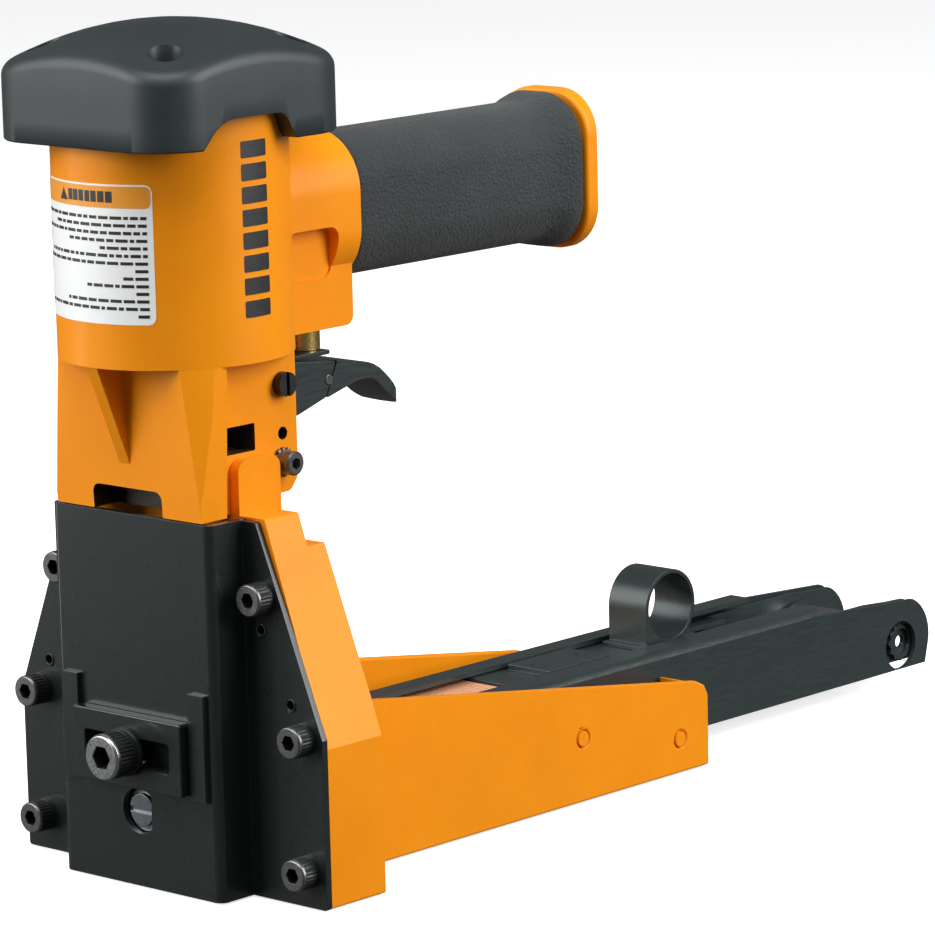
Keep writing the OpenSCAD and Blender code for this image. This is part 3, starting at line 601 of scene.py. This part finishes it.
# %% A helper to start a Geometry Nodes tree
def new_tree(name, **inputs):
    """A tree with named inputs, each given as (socket type, value)."""
    tree = bpy.data.node_groups.new(name, "GeometryNodeTree")
    for label, (kind, value) in inputs.items():
        socket = tree.interface.new_socket(label, in_out="INPUT", socket_type=kind)
        if value is not None:
            socket.default_value = value
    tree.interface.new_socket("Geometry", in_out="OUTPUT", socket_type="NodeSocketGeometry")
    return tree, tree.nodes.new("NodeGroupInput"), tree.nodes.new("NodeGroupOutput")


def grown(name, mesh, tree, node, **values):
    """A piece that stands for a node. The tree grows it from the mesh, and it becomes a plain mesh."""
    obj = placed(name, mesh, body_of_node[node], [], [node])
    mod = obj.modifiers.new("grow", "NODES")
    mod.node_group = tree
    names = {s.name: s.identifier for s in tree.interface.items_tree if s.in_out == "INPUT"}
    for label, value in values.items():
        mod[names[label]] = value
    return plain(obj)


# %% The staple tree: a bent wire
staple_count, wire_thick, wire_gap = 75, 0.9 * MM, 0.22 * MM
tree, group_in, group_out = new_tree(
    "staple_stick", Count=("NodeSocketInt", staple_count), Pitch=("NodeSocketFloat", 1.65 * MM),
    Start=("NodeSocketVector", (0, 0, 0)), HalfWidth=("NodeSocketFloat", 16.95 * MM),
    Leg=("NodeSocketFloat", 19 * MM), WireWide=("NodeSocketFloat", 1.56 * MM),
    WireThick=("NodeSocketFloat", wire_thick), Finish=("NodeSocketMaterial", None))
add, link = tree.nodes.new, tree.links.new
wire = []
for x_sign, z_from in ((-1, 1), (-1, 0), (1, 0), (1, 1)):
    point = add("ShaderNodeCombineXYZ")
    scale_x = add("ShaderNodeMath")
    scale_x.operation = "MULTIPLY"
    scale_x.inputs[1].default_value = x_sign
    link(group_in.outputs["HalfWidth"], scale_x.inputs[0])
    scale_z = add("ShaderNodeMath")
    scale_z.operation = "MULTIPLY"
    scale_z.inputs[1].default_value = -z_from
    link(group_in.outputs["Leg"], scale_z.inputs[0])
    link(scale_x.outputs[0], point.inputs["X"])
    link(scale_z.outputs[0], point.inputs["Z"])
    wire.append(point)
bars = add("GeometryNodeJoinGeometry")
for first, second in zip(wire, wire[1:]):
    bar = add("GeometryNodeCurvePrimitiveLine")
    link(first.outputs[0], bar.inputs["Start"])
    link(second.outputs[0], bar.inputs["End"])
    link(bar.outputs["Curve"], bars.inputs["Geometry"])
section = add("GeometryNodeCurvePrimitiveQuadrilateral")
link(group_in.outputs["WireThick"], section.inputs["Width"])
link(group_in.outputs["WireWide"], section.inputs["Height"])
body_of_wire = add("GeometryNodeCurveToMesh")
body_of_wire.inputs["Fill Caps"].default_value = True
link(bars.outputs[0], body_of_wire.inputs["Curve"])
link(section.outputs[0], body_of_wire.inputs["Profile Curve"])
print("wire corners", len(wire))

# %% The staple tree: set along the magazine
line = add("GeometryNodeMeshLine")
step = add("ShaderNodeCombineXYZ")
link(group_in.outputs["Pitch"], step.inputs["Y"])
link(group_in.outputs["Count"], line.inputs["Count"])
link(group_in.outputs["Start"], line.inputs["Start Location"])
link(step.outputs[0], line.inputs["Offset"])
scatter = add("GeometryNodeInstanceOnPoints")
link(line.outputs[0], scatter.inputs["Points"])
link(body_of_wire.outputs[0], scatter.inputs["Instance"])
real = add("GeometryNodeRealizeInstances")
link(scatter.outputs[0], real.inputs[0])
paint = add("GeometryNodeSetMaterial")
link(real.outputs[0], paint.inputs["Geometry"])
link(group_in.outputs["Finish"], paint.inputs["Material"])
link(paint.outputs[0], group_out.inputs[0])
stick_low, stick_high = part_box("staple_strip")
pitch = (stick_high.y - stick_low.y) / staple_count
stick = grown("staple_stick", bpy.data.meshes.new("staple_stick"), tree, "staple_strip", Pitch=pitch,
              Start=(0, stick_low.y + pitch / 2, stick_high.z - wire_thick / 2),
              HalfWidth=stick_high.x - wire_thick / 2, Leg=stick_high.z - stick_low.z - wire_thick / 2,
              WireWide=pitch - wire_gap, Finish=copper_wire)
join_the_tool(stick)
print("staples", len(stick.data.polygons), "faces, box", [round(v / MM, 1) for v in stick.dimensions])

# %% [markdown]
# ## Socket screws
#
# A socket head screw has a knurled side, a chamfered rim that is worn bright, and a hexagonal well. The
# six that hold the cover and the large one that holds the adjuster differ only in size, so one function
# makes the head, and a tree sets it wherever a screw is. Only the heads show, so no shanks are made.


# %% The socket head, made once
KNURL_DEPTH = 0.035       # of the radius
RIM, SIDE = 1, 0          # the two finishes of a head


def screw_head(name, radius, height, key, ridges):
    """A socket head along +Z from 0 to height, with a knurled side and a hexagonal well."""
    bm = bmesh.new()
    count = ridges * 2
    turns = [2 * pi * i / count for i in range(count)]
    # Each row is its height and its width as shares of the head's, and whether it is knurled
    rows = [(0, 1.0, False), (0.16, 1.0, False), (0.18, 1.0, True), (0.80, 1.0, True), (0.82, 0.995, False),
            (0.90, 0.995, False), (0.965, 0.965, False), (1, 0.90, False)]
    rings = []
    for rise, share, knurled in rows:
        reach = [radius * (share - (KNURL_DEPTH if knurled and i % 2 else 0)) for i in range(count)]
        rings.append([bm.verts.new((r * cos(a), r * sin(a), height * rise)) for r, a in zip(reach, turns)])
    hex_r = key / 2 / cos(pi / 6)

    def hexagon(turn, r):
        return r * cos(pi / 6) / cos((turn % (pi / 3)) - pi / 6)

    for z, r in ((height, hex_r * 1.06), (height - 0.03 * radius, hex_r), (height * 0.45, hex_r)):
        rings.append([bm.verts.new((hexagon(a, r) * cos(a), hexagon(a, r) * sin(a), z)) for a in turns])
    for k, band in enumerate(bridge(bm, rings)):
        for face in band:
            face.smooth = k in (5, 6)
            face.material_index = RIM if 4 <= k <= 8 else SIDE
    bm.faces.new(rings[-1])
    bm.faces.new(list(reversed(rings[0])))
    return mesh_from(bm, name)


# %% The tree that sets screws
def screw_tree(name):
    """Puts a screw on every spot, makes it real and gives its side and its rim their finishes."""
    tree, group_in, group_out = new_tree(
        name, Spots=("NodeSocketGeometry", None), Screw=("NodeSocketObject", None),
        Size=("NodeSocketFloat", 1.0), Side=("NodeSocketMaterial", None), Rim=("NodeSocketMaterial", None))
    add, link = tree.nodes.new, tree.links.new
    info = add("GeometryNodeObjectInfo")
    link(group_in.outputs["Screw"], info.inputs["Object"])
    scatter = add("GeometryNodeInstanceOnPoints")
    link(group_in.outputs["Spots"], scatter.inputs["Points"])
    link(info.outputs["Geometry"], scatter.inputs["Instance"])
    link(group_in.outputs["Size"], scatter.inputs["Scale"])
    real = add("GeometryNodeRealizeInstances")
    link(scatter.outputs[0], real.inputs[0])
    index = add("GeometryNodeInputMaterialIndex")
    made = real.outputs[0]
    for number, label in ((SIDE, "Side"), (RIM, "Rim")):
        chosen = add("FunctionNodeCompare")
        chosen.data_type, chosen.operation = "INT", "EQUAL"
        whole_a, whole_b = [i for i in chosen.inputs if i.type == "INT"]
        link(index.outputs[0], whole_a)
        whole_b.default_value = number
        paint = add("GeometryNodeSetMaterial")
        link(made, paint.inputs["Geometry"])
        link(chosen.outputs[0], paint.inputs["Selection"])
        link(group_in.outputs[label], paint.inputs["Material"])
        made = paint.outputs[0]
    link(made, group_out.inputs[0])
    return tree


def screws(name, node, spots, axis, mats, radius, height, key, ridges=28):
    """Socket heads at spots, facing along axis, that stand for a node. Sizes in millimetres."""
    head = screw_head("head_" + name, radius * MM, height * MM, key * MM, ridges)
    head.transform(Vector((0, 0, 1)).rotation_difference(Vector(axis)).to_matrix().to_4x4())
    for mat in mats:
        head.materials.append(mat)
    pattern = bpy.data.objects.new("pattern", head)
    scene.collection.objects.link(pattern)
    mesh = bpy.data.meshes.new(name)
    mesh.from_pydata([tuple(s) for s in spots], [], [])
    obj = grown(name, mesh, screw_tree("set_" + name), node, Screw=pattern, Side=mats[0], Rim=mats[1])
    bpy.data.objects.remove(pattern)
    return join_the_tool(obj)


# %% Cover screws and the adjuster's screw
wing_face = -1.6                                          # the front of the cover's wings
cover_rows = (52.2, 10), (52.2, 47), (38.4, 84.6)         # x and z of each pair
cover_spots = [Vector((side * x, wing_face, z)) * MM for x, z in cover_rows for side in (1, -1)]
cover_screws = screws("cover_screw_heads", "cover_screws", cover_spots, (0, -1, 0),
                      [screw_black, screw_steel], radius=4.5, height=6, key=4)
adjust_low, adjust_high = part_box("adjuster_screw")
adjust_z = (adjust_low.z + adjust_high.z) / 2
head_height = 8
adjuster = screws("adjuster_screw_head", "adjuster_screw",
                  [Vector((0, adjust_low.y + head_height * MM, adjust_z))], (0, -1, 0),
                  [screw_black, bright_steel], radius=6.5, height=head_height, key=6, ridges=36)
print("screw faces", len(cover_screws.data.polygons), len(adjuster.data.polygons))

# %% [markdown]
# ## The spring band
#
# A thin steel ribbon pulls the pusher forward and winds onto the drum behind it. The winding itself is not
# modelled.

# %% The ribbon, slightly dished across its width
band_low, band_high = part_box("spring_band")
ribbon_dish = 0.12 * MM
bm = bmesh.new()
rows = []
for k in range(41):
    y = band_low.y + (band_high.y - band_low.y) * k / 40
    row = []
    for side, z in ((1, band_high.z), (-1, band_low.z)):
        for i in range(9):
            across = (i / 4 - 1) * side
            dish = ribbon_dish * (1 - across ** 2) * (side > 0)
            row.append(bm.verts.new((across * band_high.x, y, z - dish)))
    rows.append(row)
bridge(bm, rows)
bm.faces.new(rows[0])
bm.faces.new(rows[-1])
band_mesh = mesh_from(bm, "spring_ribbon")
band = join_the_tool(placed("spring_ribbon", band_mesh, body_of_node["spring_band"], [spring_steel],
                            ["spring_band"]))
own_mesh(band)
print("ribbon", len(band_mesh.polygons), "faces")

# %% [markdown]
# ## Coil springs
#
# The exact model holds each spring as a stack of rings. Here they are wound as real coils, with closed
# ends, from a wire swept along a helix.


# %% Wind a spring inside its node's box
STEPS_A_TURN, WIRE_SIDES = 28, 8


def coil(node, turns, wire):
    """A coil wound inside its node's box, from a wire of the given thickness. Sizes in metres."""
    low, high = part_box(node)
    radius = (high.x - low.x) / 2 - wire / 2
    centre = Vector(((low.x + high.x) / 2, (low.y + high.y) / 2))
    around_wire = [2 * pi * i / WIRE_SIDES for i in range(WIRE_SIDES)]
    bm = bmesh.new()
    rows = []
    for k in range(turns * STEPS_A_TURN + 1):
        turn = k / STEPS_A_TURN
        share = min(1, max(0, (turn - 1) / (turns - 2)))
        z = low.z + wire / 2 + (high.z - low.z - wire) * share
        a = 2 * pi * turn
        row = []
        for b in around_wire:
            reach = radius + wire / 2 * cos(b)
            x, y = centre.x + reach * cos(a), centre.y + reach * sin(a)
            row.append(bm.verts.new((x, y, z + wire / 2 * sin(b))))
        rows.append(row)
    for band in bridge(bm, rows):
        for face in band:
            face.smooth = True
    bm.faces.new(rows[0])
    bm.faces.new(rows[-1])
    piece = join_the_tool(placed("coil_" + node, mesh_from(bm, "coil_" + node), body_of_node[node],
                                 [spring_steel], [node]))
    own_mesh(piece)
    print(node, "coil", round((high.z - low.z) / MM, 1), "mm,", turns, "turns")


coil("head_valve_spring", turns=5, wire=1.0 * MM)
coil("valve_spring", turns=5, wire=0.6 * MM)

# %% [markdown]
# ## Label and marking
#
# A thin printed label is wrapped round the cylinder, and a black marking runs up its side. Both carry only
# plain bars here. Each patch is a thin sheet that follows the cylinder just above its paint.

# %% Printed finishes
wall = 32.7               # the cylinder's radius in millimetres
cyl_y = seat_y / MM
paper_lift, print_lift, over_print = 0.03, 0.09, 0.15     # how far each layer stands off the wall
paper = finish("label_paper", (0.93, 0.95, 0.93), (0.88, 0.90, 0.88), rough=(0.35, 0.45), grain=900,
               bump=0.05)
label_orange = finish("label_orange", (0.93, 0.36, 0.03), rough=(0.35, 0.45), grain=900, bump=0.05)
ink = finish("printing_ink", (0.012, 0.012, 0.013), (0.030, 0.028, 0.026), rough=(0.35, 0.5), grain=1600,
             bump=0.08)
print("cylinder radius", wall, "mm at y", round(cyl_y, 2))


# %% Patches that follow the cylinder
def patch(bm, a0, a1, z0, z1, lift, corner=0.0, thick=0.05, mat=0):
    """A curved sheet from angle a0 to a1 (degrees, 0 at +X) and z0 to z1 (mm), with rounded corners."""
    r = wall + lift
    count = max(2, int(abs(a1 - a0) / 2))
    cols = []
    edge = [a0 + (a1 - a0) * i / count for i in range(count + 1)]
    if corner:
        c = corner / r * 180 / pi
        near_ends = (0.1, 0.3, 0.6, 1)
        edge = sorted(set(edge + [a0 + c * t for t in near_ends] + [a1 - c * t for t in near_ends]))
    for a in edge:
        near = min(a - a0, a1 - a) * pi / 180 * r
        cut = corner - sqrt(max(0, corner ** 2 - (corner - near) ** 2)) if near < corner else 0
        for radius in (r, r + thick):
            for z in (z0 + cut, z1 - cut):
                t = radians(a)
                cols.append(bm.verts.new((radius * cos(t) * MM, (cyl_y + radius * sin(t)) * MM, z * MM)))
    n = len(edge)
    for i in range(n - 1):
        a, b = cols[4 * i:4 * i + 4], cols[4 * i + 4:4 * i + 8]
        for quad in ((a[2], b[2], b[3], a[3]), (a[1], b[1], b[0], a[0]),
                     (a[0], b[0], b[2], a[2]), (a[3], b[3], b[1], a[1])):
            bm.faces.new(quad).material_index = mat
    bm.faces.new((cols[0], cols[2], cols[3], cols[1])).material_index = mat
    e = cols[-4:]
    bm.faces.new((e[1], e[3], e[2], e[0])).material_index = mat


def printed(name, draw, mats):
    """A printed piece: draw fills it with patches, and it rides on the tool."""
    bm = bmesh.new()
    draw(bm)
    mesh = mesh_from(bm, name)
    for face in mesh.polygons:
        face.use_smooth = True
    mesh.set_sharp_from_angle(angle=radians(40))
    return join_the_tool(placed(name, mesh, "tool_body", mats, ()))


# %% The label
label_right, label_left, label_top, label_foot = -53.0, -150.0, 198.0, 160.0
PAPER, BAND, INK = 0, 1, 2
row_step, row_height, word_gap = 2.05, 0.85, 1.1
heading = ((-73, 3.6), (-77.5, 3.6), (-82, 3.2), (-86, 3.0), (-90, 3.2), (-94, 3.4), (-98, 3.2))
sign_at, sign_top, sign_step, sign_lean = -105.5, 196.3, 0.38, 0.42


def draw_label(bm):
    patch(bm, label_left, label_right, label_foot, label_top, paper_lift, 2.2, mat=PAPER)
    patch(bm, label_left + 0.8, label_right - 0.8, 191.6, label_top - 0.5, print_lift, 1.6, mat=BAND)
    luck = random.Random(4)
    z = 189.4
    while z > label_foot + 2.5:
        a = label_right - 3.0
        while a > label_left + 22:
            word = luck.uniform(2.0, 6.5)
            patch(bm, max(a - word, label_left + 20), a, z - row_height, z, print_lift, mat=INK)
            a -= word + word_gap
            if luck.random() < 0.08:
                break
        z -= row_step
    for z in (185, 176, 167):
        patch(bm, label_left + 4, label_left + 15, z - 5.5, z + 1.5, print_lift, 0.8, mat=INK)
        patch(bm, label_left + 5, label_left + 14, z - 4.9, z + 0.9, over_print, 0.5, mat=PAPER)
    for a, width in heading:
        patch(bm, a - width, a, 193.1, 196.1, over_print, mat=INK)
    for k in range(9):
        top = sign_top - k * sign_step
        patch(bm, sign_at - k * sign_lean + 0.21, sign_at + k * sign_lean, top - sign_step, top, over_print,
              mat=INK)


label = printed("rating_label", draw_label, [paper, label_orange, ink])


# %% The marking on the side
bar_count, bar_foot, bar_step, bar_height = 8, 160.2, 6.2, 4.6


def draw_marking(bm):
    for k in range(bar_count):
        z = bar_foot + k * bar_step
        patch(bm, -8.5, 8.0, z, z + bar_height, paper_lift, 0.5)


marking = printed("side_marking", draw_marking, [ink])
print("label", len(label.data.polygons), "marking", len(marking.data.polygons))

# %% [markdown]
# ## Light and ground
#
# The tool stands on a pale floor in a white room. A large soft light from the left front models the
# cylinder, a second one from the right keeps the side faces warm, and one from above rims the black parts.
# The floor glows a little, so that it reads as white, and it is left out of reflections and of bounced
# light, or it would turn the black parts grey. The room is white to the camera and dim to the tool.


# %% A soft light
def softbox(name, place, target, size, power):
    """A rectangular soft light that faces a target. Sizes in metres, power in watts."""
    light = bpy.data.lights.new(name, "AREA")
    light.shape, light.size, light.size_y = "RECTANGLE", size[0], size[1]
    light.energy = power
    lamp = bpy.data.objects.new(name, light)
    scene.collection.objects.link(lamp)
    lamp.location = place
    lamp.rotation_euler = (Vector(target) - Vector(place)).to_track_quat("-Z", "Y").to_euler()


# %% The floor
bm = bmesh.new()
bmesh.ops.create_grid(bm, x_segments=1, y_segments=1, size=4)
floor_mesh = bpy.data.meshes.new("floor")
bm.to_mesh(floor_mesh)
bm.free()
floor = bpy.data.objects.new("floor", floor_mesh)
scene.collection.objects.link(floor)
floor_mesh.transform(Matrix.Translation((0, 0, -0.0005)))
floor_mesh.materials.append(finish("pale_floor", (0.90, 0.90, 0.90), (0.88, 0.88, 0.88), rough=(0.6, 0.7),
                                   grain=60, bump=0.0, Emission_Color=(1, 1, 1, 1), Emission_Strength=0.7))
floor.visible_glossy = floor.visible_diffuse = False
print("floor half a millimetre under the tool")

# %% The room
world = bpy.data.worlds.new("room")
scene.world = world
world.use_nodes = True
wt = world.node_tree
seen, lit = wt.nodes["Background"], wt.nodes.new("ShaderNodeBackground")
seen.inputs["Color"].default_value, seen.inputs["Strength"].default_value = (1, 1, 1, 1), 1.0
lit.inputs["Color"].default_value, lit.inputs["Strength"].default_value = (0.95, 0.98, 1, 1), 0.12
rays, blend = wt.nodes.new("ShaderNodeLightPath"), wt.nodes.new("ShaderNodeMixShader")
wt.links.new(rays.outputs["Is Camera Ray"], blend.inputs[0])
wt.links.new(lit.outputs[0], blend.inputs[1])
wt.links.new(seen.outputs[0], blend.inputs[2])
wt.links.new(blend.outputs[0], wt.nodes["World Output"].inputs["Surface"])
print("room nodes", len(wt.nodes))

# %% The lights
middle = Vector((0, 0.08, 0.12))


def around(turn, rise, distance):
    """A place round the tool: turn in degrees from the camera, rise in degrees above the floor."""
    a, up = azimuth + radians(turn), radians(rise)
    return middle + distance * Vector((sin(a) * cos(up), -cos(a) * cos(up), sin(up)))


softbox("key", around(-74, 24, 1.6), middle, (0.9, 1.3), 22)
softbox("side", around(74, 26, 1.6), middle, (0.9, 1.3), 29)
softbox("top", around(-10, 68, 1.6), middle, (1.2, 1.0), 18)
softbox("edge", around(-100, 10, 1.8), middle, (0.4, 1.6), 6)
scene.view_settings.view_transform = "Standard"
print("lights ready")
